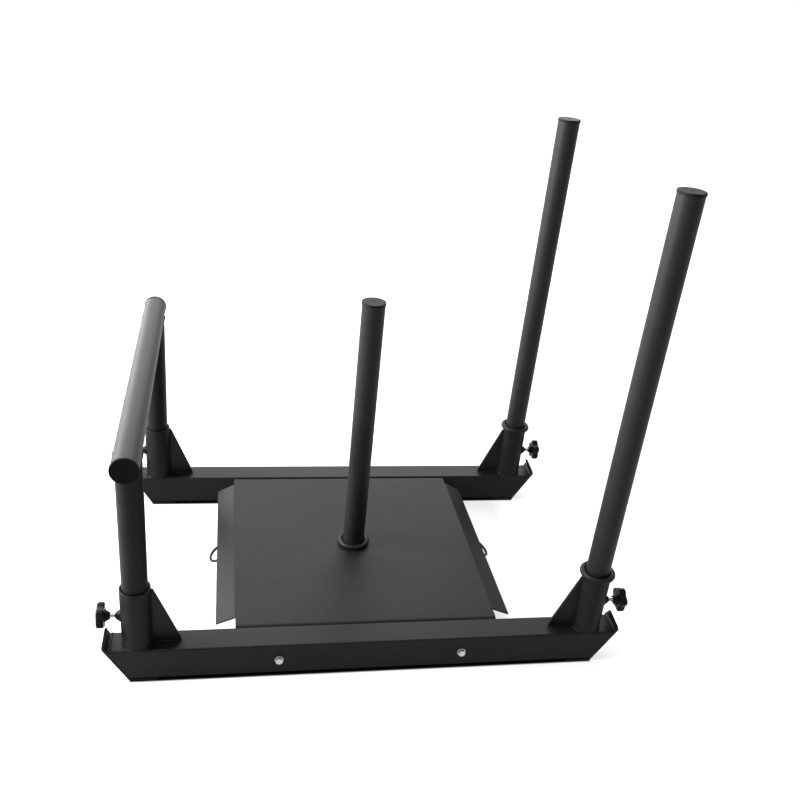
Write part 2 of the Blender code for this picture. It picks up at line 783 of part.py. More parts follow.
def build_push_bar():
    """The low push bar: two uprights, a cross tube and its end caps."""
    body = carrier("push_bar_axis", (-SOCKET_X, 0, SKID_TOP))
    upright = upright_mesh()
    upright_coat = powder_coat("upright_coat")
    cross = tube(TUBE_R, TUBE_WALL, -BAR_LENGTH / 2, BAR_LENGTH / 2)
    cross.transform(ALONG_Y)
    centre = Vector((-SOCKET_X, 0, BAR_Z))
    place("push_bar_tube", cross, powder_coat("bar_coat"), centre, 0.0, body)
    cap = cap_mesh()
    cap.transform(ALONG_Y)
    bar_cap_plastic = plastic("bar_cap_plastic")
    for side, across in SIDES:
        foot = (-SOCKET_X, across * SKID_Y, SKID_TOP)
        place("push_bar_upright_" + side, upright, upright_coat, foot, 0.0, body)
        tip = centre + Vector((0, across * BAR_LENGTH / 2, 0))
        turn = 0.0 if across > 0 else pi
        place("push_bar_cap_" + side, cap, bar_cap_plastic, tip, turn, body)


build_base()
build_deck()
build_posts()
build_push_bar()
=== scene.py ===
"""The weight sled dressed for the camera: bevelled steelwork with its weld beads, threaded clamp
screws, moulded knobs and caps, and zinc plated deck bolts. Lengths are in metres."""

from math import asin, cos, hypot, pi, radians, sin, tan

import bmesh
import bpy
from mathutils import Matrix, Vector


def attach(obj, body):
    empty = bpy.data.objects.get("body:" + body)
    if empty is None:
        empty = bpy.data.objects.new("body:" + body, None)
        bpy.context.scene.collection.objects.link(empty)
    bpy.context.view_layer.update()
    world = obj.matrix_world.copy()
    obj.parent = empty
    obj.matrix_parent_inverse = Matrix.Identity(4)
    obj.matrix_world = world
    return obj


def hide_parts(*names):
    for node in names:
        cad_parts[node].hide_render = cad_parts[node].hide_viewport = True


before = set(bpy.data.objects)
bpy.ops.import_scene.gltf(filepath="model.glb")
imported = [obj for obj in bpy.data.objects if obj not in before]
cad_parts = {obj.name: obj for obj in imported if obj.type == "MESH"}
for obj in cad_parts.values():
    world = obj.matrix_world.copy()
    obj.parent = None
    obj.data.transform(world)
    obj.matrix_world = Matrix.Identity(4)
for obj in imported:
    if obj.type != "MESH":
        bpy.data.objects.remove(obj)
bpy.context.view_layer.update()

# Places on the steelwork
SKID_Y = 0.304
SKID_WIDTH = 0.057
SKID_LENGTH = 1.0134
SKID_LOW = 0.0053
SKID_TOP = 0.0748
RAKE = 0.0417
SEAM = 0.0003
PLATE = 0.005
SOCKET_X = 0.453
SOCKET_R = 0.029
SOCKET_TOP = 0.2054
BORE_R = 0.025
TUBE_R = 0.024
TUBE_WALL = 0.0025
CLAMP_Z = 0.1401
CLAMP_HOLE_R = 0.0043
THREAD_R = 0.004
THREAD_PITCH = 0.00125
DECK_TOP = 0.0743
DECK_SHEET = 0.003
DECK_HALF = 0.26825
WING_ANGLE = radians(25.9)
WING_LENGTH = 0.041
HUB_TIP, KNOB_BASE, KNOB_FACE = 0.0468, 0.0568, 0.0703
KNOB_R = 0.02575
LOBES = 5
LOBE_DEPTH = 0.0055
BOLT_X, BOLT_Z = 0.184, 0.0404
HEX_HALF = 0.0065
POLE_FOOT_Z = 0.0771
CAP_R, CAP_THICK = 0.025, 0.0045
BAR_Z, BAR_HALF = 0.4944, 0.361

ENDS = (("left", -1, pi), ("right", 1, 0.0))
SIDES = (("near", -1), ("far", 1))
KNOB_TURNS = {"near_left": pi, "near_right": 0.0, "far_left": pi / 5, "far_right": pi / 3}
X_AXIS, Y_AXIS, Z_AXIS = Vector((1, 0, 0)), Vector((0, 1, 0)), Vector((0, 0, 1))


# ---- materials ----

class Wire:
    """A node's output in a finish, which can be written in sums."""

    def __init__(self, finish, socket):
        self.finish = finish
        self.socket = socket

    def maths(self, operation, first, second):
        return self.finish.add("ShaderNodeMath", {"operation": operation}, {0: first, 1: second})

    def __add__(self, other):
        return self.maths("ADD", self, other)

    def __radd__(self, other):
        return self.maths("ADD", other, self)

    def __sub__(self, other):
        return self.maths("SUBTRACT", self, other)

    def __rsub__(self, other):
        return self.maths("SUBTRACT", other, self)

    def __mul__(self, other):
        return self.maths("MULTIPLY", self, other)

    def __rmul__(self, other):
        return self.maths("MULTIPLY", other, self)


class Finish:
    """A surface finish under way, as nodes that end in one Principled shader."""

    def __init__(self, name):
        self.material = bpy.data.materials.new(name)
        self.material.use_nodes = True
        self.nodes = self.material.node_tree.nodes
        self.links = self.material.node_tree.links
        self.nodes.clear()
        self.place = self.add("ShaderNodeTexCoord", out="Object")

    def add(self, kind, settings=None, values=None, out=0):
        """Any node: its settings first, then the values or links of its sockets."""
        node = self.nodes.new(kind)
        for key, value in (settings or {}).items():
            if key == "stops":
                ramp = node.color_ramp
                while len(ramp.elements) < len(value):
                    ramp.elements.new(0.5)
                for element, (position, shade) in zip(ramp.elements, value):
                    element.position = position
                    element.color = (shade, shade, shade, 1)
            else:
                setattr(node, key, value)
        for key, value in (values or {}).items():
            socket = node.inputs[key]
            if isinstance(value, Wire):
                self.links.new(value.socket, socket)
            else:
                socket.default_value = value
        return Wire(self, node.outputs[out])

    def noise(self, scale, detail=2.0, rough=0.5, stretch=None):
        """Cloudy pattern from 0 to 1, with its scale in cells per metre."""
        place = self.place
        if stretch:
            place = self.add("ShaderNodeMapping", None, {"Vector": place, "Scale": stretch})
        values = {"Vector": place, "Scale": scale, "Detail": detail, "Roughness": rough}
        return self.add("ShaderNodeTexNoise", None, values)

    def ramp(self, value, *stops):
        return self.add("ShaderNodeValToRGB", {"stops": stops}, {"Fac": value})

    def mix(self, factor, first, second):
        """Two colours, or two numbers that stand for greys, mixed."""
        colours = [c if isinstance(c, (Wire, tuple)) else (c, c, c, 1) for c in (first, second)]
        values = {0: factor, 6: colours[0], 7: colours[1]}
        return self.add("ShaderNodeMix", {"data_type": "RGBA"}, values, out=2)

    def bump(self, height, strength, distance):
        values = {"Height": height, "Strength": strength, "Distance": distance}
        return self.add("ShaderNodeBump", None, values)

    def done(self, **sockets):
        shader = self.nodes.new("ShaderNodeBsdfPrincipled")
        for key, value in sockets.items():
            socket = shader.inputs[key.replace("_", " ")]
            if isinstance(value, Wire):
                self.links.new(value.socket, socket)
            else:
                socket.default_value = value
        end = self.nodes.new("ShaderNodeOutputMaterial")
        self.links.new(shader.outputs[0], end.inputs[0])
        return self.material


def powder_coat(name, shade=0.004, gloss=0.54, grain=None, sheen=0.115):
    """Satin black powder coat: orange peel, fine pigment grain, faint dust and handling marks."""
    coat = Finish(name)
    cloud = coat.noise(9, 4, 0.55, grain)
    peel = coat.noise(520, 2, 0.5)
    pigment = coat.noise(2600, 1, 0.5)
    dust = coat.ramp(coat.noise(38, 6, 0.7), (0.52, 0.0), (0.78, 1.0))
    rubs = coat.ramp(coat.noise(60, 3, 0.6, (1.0, 1.0, 0.12)), (0.60, 0.0), (0.72, 1.0))
    colour = coat.mix(cloud, (shade * 0.85,) * 3 + (1,), (shade * 1.18,) * 3 + (1,))
    colour = coat.mix(dust * 0.08, colour, (0.060, 0.059, 0.057, 1))
    roughness = gloss - 0.05 + cloud * 0.10 + (pigment - 0.5) * 0.10 + dust * 0.05 - rubs * 0.05
    return coat.done(
        Base_Color=colour,
        Roughness=roughness,
        Specular_IOR_Level=sheen,
        Normal=coat.bump(peel * 0.75 + pigment * 0.35, 0.16, 0.0004),
    )


def moulded_plastic(name, shade, gloss, texture, sheen=0.16):
    """Black moulded plastic with a spark-eroded texture and slightly glossier rubbed patches."""
    plastic = Finish(name)
    cloud = plastic.noise(45, 3, 0.5)
    pits = plastic.noise(3200, 2, 0.6)
    rubbed = plastic.ramp(plastic.noise(110, 4, 0.6), (0.50, 0.0), (0.66, 1.0))
    return plastic.done(
        Base_Color=plastic.mix(cloud, (shade * 0.85,) * 3 + (1,), (shade * 1.2,) * 3 + (1,)),
        Roughness=gloss + (pits - 0.5) * 0.12 + cloud * 0.06 - rubbed * 0.06,
        Specular_IOR_Level=sheen,
        Normal=plastic.bump(pits, texture, 0.0003),
    )


def zinc_plate(name):
    """Bright zinc plate: a cool metal with faint passivation tints and drawing lines."""
    plate = Finish(name)
    cloud = plate.noise(160, 4, 0.6)
    lines = plate.noise(2400, 2, 0.5, (1.0, 0.15, 0.15))
    colour = plate.mix(cloud, (0.34, 0.345, 0.35, 1), (0.50, 0.49, 0.47, 1))
    return plate.done(
        Base_Color=colour,
        Metallic=1.0,
        Roughness=0.22 + cloud * 0.14 + (lines - 0.5) * 0.08,
        Normal=plate.bump(lines, 0.08, 0.0002),
    )


# ---- modelling ----

def clear_selection():
    """Leave edit mode, with nothing selected."""
    if bpy.context.object and bpy.context.object.mode != "OBJECT":
        bpy.ops.object.mode_set(mode="OBJECT")
    bpy.ops.object.select_all(action="DESELECT")


def pick(test, kind="FACE"):
    """Select what passes the test, in edit mode: faces, edges or vertices."""
    bpy.ops.mesh.select_mode(type=kind)
    bpy.ops.mesh.select_all(action="DESELECT")
    shape = bmesh.from_edit_mesh(bpy.context.object.data)
    for item in {"FACE": shape.faces, "EDGE": shape.edges, "VERT": shape.verts}[kind]:
        if test(item):
            item.select_set(True)
    shape.select_flush_mode()
    bmesh.update_edit_mesh(bpy.context.object.data)


def middle_of_edge(edge):
    return (edge.verts[0].co + edge.verts[1].co) / 2


def start_piece():
    """The primitive that was just added, with its place put in its mesh, opened in edit mode."""
    bpy.ops.object.transform_apply(location=True, rotation=True, scale=True)
    bpy.ops.object.mode_set(mode="EDIT")
    return bpy.context.object


def block(low, high):
    """A box between two corners, opened in edit mode."""
    clear_selection()
    low, high = Vector(low), Vector(high)
    bpy.ops.mesh.primitive_cube_add(size=1, location=(low + high) / 2, scale=high - low)
    return start_piece()


def rod(radius, start, end, sides=96, tip=None):
    """A cylinder or cone between two points, opened in edit mode."""
    clear_selection()
    start, end = Vector(start), Vector(end)
    turn = (end - start).to_track_quat("Z", "X").to_euler()
    bpy.ops.mesh.primitive_cone_add(
        vertices=sides,
        radius1=radius,
        radius2=radius if tip is None else tip,
        depth=(end - start).length,
        location=(start + end) / 2,
        rotation=turn,
    )
    return start_piece()


def flat_end(direction):
    """A test for the faces that look along a direction."""
    direction = Vector(direction)
    return lambda face: face.normal.dot(direction) > 0.999


def soften(width, segments=2, angle=30):
    """Round the piece's sharp edges with an applied bevel."""
    bpy.ops.object.mode_set(mode="OBJECT")
    obj = bpy.context.object
    bevel = obj.modifiers.new("Soft edges", "BEVEL")
    bevel.width = width
    bevel.segments = segments
    bevel.limit_method = "ANGLE"
    bevel.angle_limit = radians(angle)
    bevel.harden_normals = False
    bpy.ops.object.modifier_apply(modifier=bevel.name)


def carve(obj, *tools, operation="DIFFERENCE"):
    """Cut tools out of a piece, or keep what it shares with them, and remove them."""
    clear_selection()
    bpy.context.view_layer.objects.active = obj
    obj.select_set(True)
    for tool in tools:
        cut = obj.modifiers.new("Cut", "BOOLEAN")
        cut.operation = operation
        cut.solver = "EXACT"
        cut.object = tool
        bpy.ops.object.modifier_apply(modifier=cut.name)
        bpy.data.objects.remove(tool, do_unlink=True)
    return obj


def finished(obj, name, material, body, *nodes, angle=35, slot=None):
    """Close a piece: shading, name, finish, the body it rides and the solid it stands for."""
    clear_selection()
    bpy.context.view_layer.objects.active = obj
    obj.select_set(True)
    bpy.ops.object.transform_apply(location=True, rotation=True, scale=True)
    bpy.ops.object.shade_smooth_by_angle(angle=radians(angle))
    level = obj.modifiers.new("Level faces", "WEIGHTED_NORMAL")
    level.keep_sharp = True
    bpy.ops.object.modifier_apply(modifier=level.name)
    obj.name = name
    obj.data.name = name
    obj.data.materials.clear()
    obj.data.materials.append(material)
    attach(obj, body)
    if nodes:
        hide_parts(*nodes)
    return obj


def copy_of(obj, turn=0.0, shift=(0, 0, 0), roll=0.0):
    """A copy with its own mesh, turned about the origin's vertical, rolled about X, then moved."""
    twin = bpy.data.objects.new(obj.name + "_copy", obj.data.copy())
    bpy.context.scene.collection.objects.link(twin)
    spun = Matrix.Rotation(roll, 4, "X") @ Matrix.Rotation(turn, 4, "Z")
    twin.data.transform(Matrix.Translation(shift) @ spun)
    return twin


def discard(*models):
    """Remove the pieces that were only there to be copied."""
    for obj in models:
        bpy.data.objects.remove(obj, do_unlink=True)


def pipe(outer, inner, start, end, edge=0.0004, sides=96):
    """An open tube with softened rims, between two points."""
    obj = rod(outer, start, end, sides)
    along = (Vector(end) - Vector(start)).normalized()
    pick(lambda face: abs(face.normal.dot(along)) > 0.999)
    bpy.ops.mesh.inset(thickness=outer - inner)
    bpy.ops.mesh.bridge_edge_loops()
    if edge:
        pick(lambda rim: rim.calc_face_angle(0) > radians(60), "EDGE")
        bpy.ops.mesh.bevel(offset=edge, segments=3)
    bpy.ops.object.mode_set(mode="OBJECT")
    return obj


def bead(path, size, closed=False, pitch=0.0024):
    """A rippled weld bead laid along a path."""
    clear_selection()
    points = [Vector(p) for p in path]
    if closed:
        points.append(points[0])
    lengths = [(b - a).length for a, b in zip(points, points[1:])]
    total = sum(lengths)
    count = max(6, round(total / (pitch / 3)))
    laid = []
    for k in range(count + (0 if closed else 1)):
        at = total * k / count
        for a, b, length in zip(points, points[1:], lengths):
            if at <= length or b is points[-1]:
                laid.append(a.lerp(b, min(1.0, at / length) if length else 0.0))
                break
            at -= length
    curve = bpy.data.curves.new("bead", "CURVE")
    curve.dimensions = "3D"
    curve.bevel_depth = size
    curve.bevel_resolution = 3
    curve.use_fill_caps = not closed
    line = curve.splines.new("POLY")
    line.points.add(len(laid) - 1)
    for k, (point, spot) in enumerate(zip(line.points, laid)):
        point.co = (*spot, 1)
        swell = 1 - 0.16 * (k % 3 == 0) - 0.05 * (k % 3 == 1)
        fade = 1.0 if closed else min(1.0, 0.45 + 0.25 * min(k, len(laid) - 1 - k))
        point.radius = swell * fade
    line.use_cyclic_u = closed
    obj = bpy.data.objects.new("bead", curve)
    bpy.context.scene.collection.objects.link(obj)
    bpy.context.view_layer.objects.active = obj
    obj.select_set(True)
    bpy.ops.object.convert(target="MESH")
    return bpy.context.object


def arc(centre, radius, count, point):
    """Points of a closed curve, from an angle to a place."""
    return [Vector(centre) + Vector(point(2 * pi * k / count, radius)) for k in range(count)]


# ---- skids and their nose plates ----

coat = powder_coat("skid_powder_coat", gloss=0.47, grain=(0.3, 1.0, 1.0))
weld_coat = powder_coat("weld_powder_coat", 0.004, 0.40)


def skid():
    """Rectangular tube with rolled corners and raked ends, about the sled's middle line."""
    half = SKID_LENGTH / 2
    obj = block((-half, -SKID_WIDTH / 2, SKID_LOW), (half, SKID_WIDTH / 2, SKID_TOP))
    for sign in (-1, 1):
        pick(lambda vert: vert.co.z < SKID_LOW + PLATE and vert.co.x * sign > 0, "VERT")
        bpy.ops.transform.translate(value=(-sign * RAKE, 0, 0))
    pick(lambda edge: abs((edge.verts[0].co - edge.verts[1].co).x) > half, "EDGE")
    bpy.ops.mesh.bevel(offset=0.004, segments=8)
    soften(0.0004, 2, 40)
    return obj


def nose_plate(lean):
    """Flat bar bent up the rake of a skid end, its ear cut to a rounded point and drilled."""
    height = SKID_TOP - PLATE
    slope = Vector((RAKE / (SKID_TOP - SKID_LOW), 0, 1)).normalized()
    bend_x = SKID_LENGTH / 2 + SEAM / slope.z
    foot_x = bend_x - height * slope.x / slope.z
    inside, ear_bend, rise = 0.001, 0.0045, 0.008
    corner_at = Vector((bend_x + rise * slope.x / slope.z, 0, SKID_TOP + rise))
    first = pi / 2 - asin(slope.x)
    second = asin(slope.x) + lean
    half = SKID_WIDTH / 2
    run = foot_x - inside * tan(first / 2)
    obj = block((foot_x - 0.050, -half, 0), (run, half, PLATE))
    pick(flat_end(X_AXIS))
    bpy.ops.mesh.spin(
        steps=8, angle=first, center=(run, 0, PLATE + inside), axis=(0, 1, 0), use_auto_merge=False
    )
    length = (height + rise) / slope.z - inside * tan(first / 2) - ear_bend * tan(second / 2)
    bpy.ops.mesh.extrude_region_move(TRANSFORM_OT_translate={"value": slope * length})
    turn_at = corner_at - slope * ear_bend * tan(second / 2)
    centre = turn_at + Vector((-slope.z, 0, slope.x)) * ear_bend
    bpy.ops.mesh.spin(steps=8, angle=second, center=centre, axis=(0, 1, 0), use_auto_merge=False)
    up = Vector((-sin(lean), 0, cos(lean)))
    tall = 0.036
    ear = (tall - rise) / cos(lean) - ear_bend * tan(second / 2)
    bpy.ops.mesh.extrude_region_move(TRANSFORM_OT_translate={"value": up * ear})
    corner = Vector((0, half + PLATE, SKID_TOP + 0.0007))
    apex = Vector((0, 0, SKID_TOP + tall))
    for sign in (-1, 1):
        side = Vector((0, sign * corner.y, corner.z)) - apex
        out = side.cross(X_AXIS) * sign
        out = out if out.z > 0 else -out
        bpy.ops.mesh.select_all(action="SELECT")
        bpy.ops.mesh.bisect(
            plane_co=apex, plane_no=out.normalized(), use_fill=True, clear_outer=True
        )
    pick(lambda edge: all(abs(v.co.y) < 1e-5 and v.co.z > SKID_TOP + 0.02 for v in edge.verts),
         "EDGE")
    bpy.ops.mesh.bevel(offset=0.0042, segments=10)
    bpy.ops.object.mode_set(mode="OBJECT")
    hole = SKID_TOP + 0.0155
    drill = rod(0.005, (bend_x - 0.05, 0, hole), (bend_x + 0.02, 0, hole), 48)
    carve(obj, drill)
    soften(0.0005, 3, 40)
    return obj, bend_x, foot_x, slope


def build_skids():
    """Both skids with their nose plates and the beads that hold them."""
    tube = skid()
    plates = {}
    for end, lean in (("left", 12), ("right", 27)):
        plates[end], bend_x, foot_x, slope = nose_plate(radians(lean))
    root = bend_x - PLATE * 0.98
    top_bead = bead([(root, y, SKID_TOP + 0.0006) for y in (-0.027, 0.027)], 0.0019)
    seam = bead([(foot_x + 0.002, 0, PLATE + 0.002), (bend_x - 0.001, 0, SKID_TOP - 0.003)], 0.0011)
    for side, across in SIDES:
        y = across * SKID_Y
        piece = copy_of(tube, shift=(0, y, 0))
        finished(piece, "skid_" + side, coat, "sled_base", "skid_tube_" + side)
        for end, _, turn in ENDS:
            name = side + "_" + end
            piece = copy_of(plates[end], turn, (0, y, 0))
            finished(piece, "nose_" + name, coat, "sled_base", "nose_plate_" + name)
            piece = copy_of(top_bead, turn, (0, y, 0))
            finished(piece, "nose_weld_" + name, weld_coat, "sled_base")
            for face in (-1, 1):
                at = y + face * (SKID_WIDTH / 2 - 0.0006)
                piece = copy_of(seam, turn, (0, at, 0))
                label = "_out" if face == across else "_in"
                finished(piece, "nose_seam_" + name + label, weld_coat, "sled_base")
    discard(tube, *plates.values(), top_bead, seam)


# ---- sockets, gussets and clamp screws ----

def socket():
    """Upright tube with rounded rims, drilled for its clamp screw."""
    obj = pipe(SOCKET_R, BORE_R, (0, 0, SKID_TOP + SEAM), (0, 0, SOCKET_TOP), 0.0013)
    drill = rod(CLAMP_HOLE_R, (0.02, 0, CLAMP_Z), (0.05, 0, CLAMP_Z), 32)
    return carve(obj, drill)


def socket_weld():
    """Bead round the socket's foot, dropping where the socket overhangs the skid's sides."""
    limit = SKID_WIDTH / 2 - 0.0004

    def spot(angle, radius):
        x, y = radius * cos(angle), radius * sin(angle)
        over = max(0.0, abs(y) - limit)
        y = max(-limit, min(limit, y))
        return (x, y, SKID_TOP + 0.0006 - over * 1.1)

    return bead(arc((0, 0, 0), SOCKET_R + 0.0004, 180, spot), 0.0017, closed=True)


def gusset():
    """Plate beside a socket, cut down from its top to its toe."""
    start = -(SOCKET_R - 0.0004)
    toe = -(SOCKET_R + 0.0528)
    low, high = SKID_TOP + SEAM, SKID_TOP + SEAM + 0.1248
    obj = block((toe, -PLATE / 2, low), (start, PLATE / 2, high))
    top = Vector((-(SOCKET_R + 0.0033), 0, high))
    foot = Vector((toe, 0, low + 0.006))
    out = (foot - top).cross(Y_AXIS)
    out = out if out.x < 0 else -out
    bpy.ops.mesh.select_all(action="SELECT")
    bpy.ops.mesh.bisect(plane_co=top, plane_no=out.normalized(), use_fill=True, clear_outer=True)
    soften(0.0006, 3)
    return obj


def gusset_weld():
    """Bead down one face of a gusset, round its toe and back up the other."""
    start, toe = -(SOCKET_R + 0.0004), -(SOCKET_R + 0.0524)
    side = PLATE / 2 + 0.0002
    low = SKID_TOP + 0.0006
    path = [(start, side, 0.1958), (start, side, low + 0.002)]
    path += [(start - 0.002, side, low), (toe, side, low)]
    path += [(toe - 0.001, side * 0.5, low), (toe - 0.001, -side * 0.5, low)]
    path += [(x, -y, z) for x, y, z in reversed(path[:4])]
    return bead(path, 0.0015)


def boss():
    """Turned and threaded boss, its root hidden in the socket wall."""
    shoulder, tip = 0.0303, 0.0378
    obj = rod(0.011, (0.0265, 0, 0), (shoulder, 0, 0), 64)
    pick(flat_end(X_AXIS))
    bpy.ops.mesh.extrude_region_move(TRANSFORM_OT_translate={"value": (tip - shoulder, 0, 0)})
    bpy.ops.transform.resize(value=(1, 0.523, 0.523))
    soften(0.0009, 3, 20)
    return carve(obj, rod(CLAMP_HOLE_R, (0.02, 0, 0), (0.05, 0, 0), 32))


def boss_weld():
    """Bead round a boss, on the curve of its socket."""
    def spot(angle, radius):
        y, z = radius * cos(angle), radius * sin(angle)
        return ((SOCKET_R ** 2 - y * y) ** 0.5 + 0.0002, y, z)

    return bead(arc((0, 0, 0), 0.0112, 90, spot), 0.0013, closed=True)


def thread(radius, start, end, pitch):
    """A threaded stud along X: one turn of thread swept by a screw and repeated."""
    clear_selection()
    turns = int((end - start) / pitch)
    depth = pitch * 0.5
    root = radius - depth
    profile = [(root, 0), (radius, pitch * 0.44), (radius, pitch * 0.56), (root, pitch)]
    mesh = bpy.data.meshes.new("thread")
    mesh.from_pydata([(r, 0, z) for r, z in profile], [(0, 1), (1, 2), (2, 3)], [])
    obj = bpy.data.objects.new("thread", mesh)
    bpy.context.scene.collection.objects.link(obj)
    bpy.context.view_layer.objects.active = obj
    obj.select_set(True)
    sweep = obj.modifiers.new("Thread", "SCREW")
    sweep.axis = "Z"
    sweep.screw_offset = pitch
    sweep.iterations = turns
    sweep.steps = sweep.render_steps = 24
    sweep.use_merge_vertices = True
    sweep.merge_threshold = 1e-5
    bpy.ops.object.modifier_apply(modifier=sweep.name)
    obj.data.transform(Matrix.Translation((start, 0, 0)) @ Matrix.Rotation(pi / 2, 4, "Y"))
    bpy.ops.object.mode_set(mode="EDIT")
    bpy.ops.mesh.select_all(action="SELECT")
    bpy.ops.mesh.remove_doubles(threshold=1e-5)
    pick(lambda edge: edge.is_boundary, "EDGE")
    bpy.ops.mesh.fill()
    bpy.ops.mesh.select_all(action="SELECT")
    bpy.ops.mesh.normals_make_consistent(inside=False)
    bpy.ops.object.mode_set(mode="OBJECT")
    return obj


def lobed_knob():
    """Hand knob: five rounded lobes, one of them up, a conical hub and a domed face with a ring."""
    obj = rod(KNOB_R, (KNOB_BASE, 0, 0), (KNOB_FACE, 0, 0), 160)
    pick(flat_end(X_AXIS))
    bpy.ops.mesh.inset(thickness=0.0034)
    bpy.ops.transform.translate(value=(0.0009, 0, 0))
    bpy.ops.mesh.inset(thickness=0.0075)
    bpy.ops.transform.translate(value=(0.0009, 0, 0))
    bpy.ops.mesh.inset(thickness=0.0050)
    bpy.ops.transform.translate(value=(0.0002, 0, 0))
    bpy.ops.mesh.inset(thickness=0.0006)
    bpy.ops.transform.translate(value=(-0.0006, 0, 0))
    bpy.ops.mesh.inset(thickness=0.0005)
    pick(flat_end(-X_AXIS))
    bpy.ops.mesh.inset(thickness=0.0034)
    bpy.ops.mesh.inset(thickness=0.01035)
    bpy.ops.mesh.extrude_region_move(TRANSFORM_OT_translate={"value": (HUB_TIP - KNOB_BASE, 0, 0)})
    bpy.ops.transform.resize(value=(1, 0.52, 0.52))
    pick(lambda edge: edge.calc_face_angle(0) > radians(50)
         and abs(reach(middle_of_edge(edge)) - KNOB_R) < 0.001, "EDGE")
    bpy.ops.mesh.bevel(offset=0.0030, segments=6)
    bpy.ops.object.mode_set(mode="OBJECT")
    inner, blend = 0.0125, 0.009
    for vert in obj.data.vertices:
        far = reach(vert.co)
        if far < inner:
            continue
        around = Vector((vert.co.y, vert.co.z)).angle_signed(Vector((0, 1)), 0)
        valley = (1 - cos(LOBES * around)) / 2
        squeeze = 1 - LOBE_DEPTH * valley * min(1.0, (far - inner) / blend) / far
        vert.co.y *= squeeze
        vert.co.z *= squeeze
    return carve(obj, rod(CLAMP_HOLE_R, (HUB_TIP - 0.01, 0, 0), (0.0681, 0, 0), 32))


def reach(point):
    """Distance from the X axis."""
    return hypot(point.y, point.z)


def build_sockets():
    """The four upright sockets, each with its gusset and clamp."""
    socket_coat = powder_coat("socket_powder_coat", grain=(1.0, 1.0, 0.3), sheen=0.10)
    zinc = zinc_plate("stud_zinc")
    knob_plastic = moulded_plastic("knob_plastic", 0.003, 0.34, 0.06, 0.07)
    parts = {
        "socket": (socket(), 0.0, socket_coat),
        "socket_weld": (socket_weld(), 0.0, weld_coat),
        "gusset": (gusset(), 0.0, coat),
        "gusset_weld": (gusset_weld(), 0.0, weld_coat),
        "boss": (boss(), CLAMP_Z, socket_coat),
        "boss_weld": (boss_weld(), CLAMP_Z, weld_coat),
        "stud": (thread(THREAD_R, 0.0244, 0.0676, THREAD_PITCH), CLAMP_Z, zinc),
        "knob": (lobed_knob(), CLAMP_Z, knob_plastic),
    }
    stands_for = {"socket": "socket_", "gusset": "gusset_", "boss": "clamp_boss_",
                  "stud": "clamp_stud_", "knob": "clamp_knob_"}
    for side, across in SIDES:
        for end, along, turn in ENDS:
            name = side + "_" + end
            for label, (obj, height, material) in parts.items():
                moving = label in ("stud", "knob")
                spot = (along * SOCKET_X, across * SKID_Y, height)
                piece = copy_of(obj, turn, spot, KNOB_TURNS[name] if moving else 0.0)
                body = label + "_" + name if moving else "sled_base"
                nodes = [stands_for[label] + name] if label in stands_for else []
                title = {"stud": "screw", "knob": "handknob"}.get(label, "upright_" + label)
                finished(piece, title + "_" + name, material, body, *nodes)
    discard(*(obj for obj, _, _ in parts.values()))


# ---- deck, its socket, tow loops and bolts ----

def deck():
    """Sheet folded down along both skids and at both ends, with cut corners and the post's hole."""
    wing_fold, side_fold = 0.002 + DECK_SHEET, 0.005 + DECK_SHEET
    x, side, root = DECK_HALF, 0.2752 - side_fold, 0.2452
    clear_selection()
    bpy.ops.mesh.primitive_plane_add(size=1, location=(0, 0, DECK_TOP))
    bpy.ops.transform.resize(value=(2 * x, 2 * side, 1))
    start_piece()
    for sign in (-1, 1):
        bpy.ops.mesh.select_all(action="SELECT")
        bpy.ops.mesh.bisect(plane_co=(0, sign * root, 0), plane_no=(0, 1, 0))
    wing = WING_ANGLE
    for sign in (-1, 1):
        pick(lambda edge: all(abs(v.co.x - sign * x) < 1e-5 and abs(v.co.y) < root + 1e-5
                              and abs(v.co.z - DECK_TOP) < 1e-5 for v in edge.verts), "EDGE")
        bpy.ops.mesh.spin(
            steps=6, angle=-sign * wing, center=(sign * x, 0, DECK_TOP - wing_fold), axis=(0, 1, 0),
            use_auto_merge=False,
        )
        out = Vector((sign * cos(wing), 0, -sin(wing))) * WING_LENGTH
        bpy.ops.mesh.extrude_edges_move(TRANSFORM_OT_translate={"value": out})
        bpy.ops.transform.resize(value=(1, 1 - 0.0035 / root, 1))
    for sign in (-1, 1):
        pick(lambda edge: all(abs(v.co.y - sign * side) < 1e-5 and abs(v.co.z - DECK_TOP) < 1e-5
                              for v in edge.verts), "EDGE")
        bpy.ops.mesh.spin(
            steps=8, angle=sign * pi / 2, center=(0, sign * side, DECK_TOP - side_fold),
            axis=(1, 0, 0), use_auto_merge=False,
        )
        bpy.ops.mesh.extrude_edges_move(TRANSFORM_OT_translate={"value": (0, 0, side_fold - 0.053)})
    bpy.ops.mesh.select_all(action="SELECT")
    bpy.ops.mesh.normals_make_consistent(inside=False)
    bpy.ops.object.mode_set(mode="OBJECT")
    obj = bpy.context.object
    if max(obj.data.polygons, key=lambda face: face.area).normal.z < 0:
        obj.data.flip_normals()
    wall = obj.modifiers.new("Sheet", "SOLIDIFY")
    wall.thickness = DECK_SHEET
    wall.offset = -1
    wall.use_even_offset = True
    bpy.ops.object.modifier_apply(modifier=wall.name)
    carve(obj, rod(BORE_R, (0, 0, DECK_TOP - 0.02), (0, 0, DECK_TOP + 0.02), 96))
    soften(0.0006, 3, 40)
    return obj


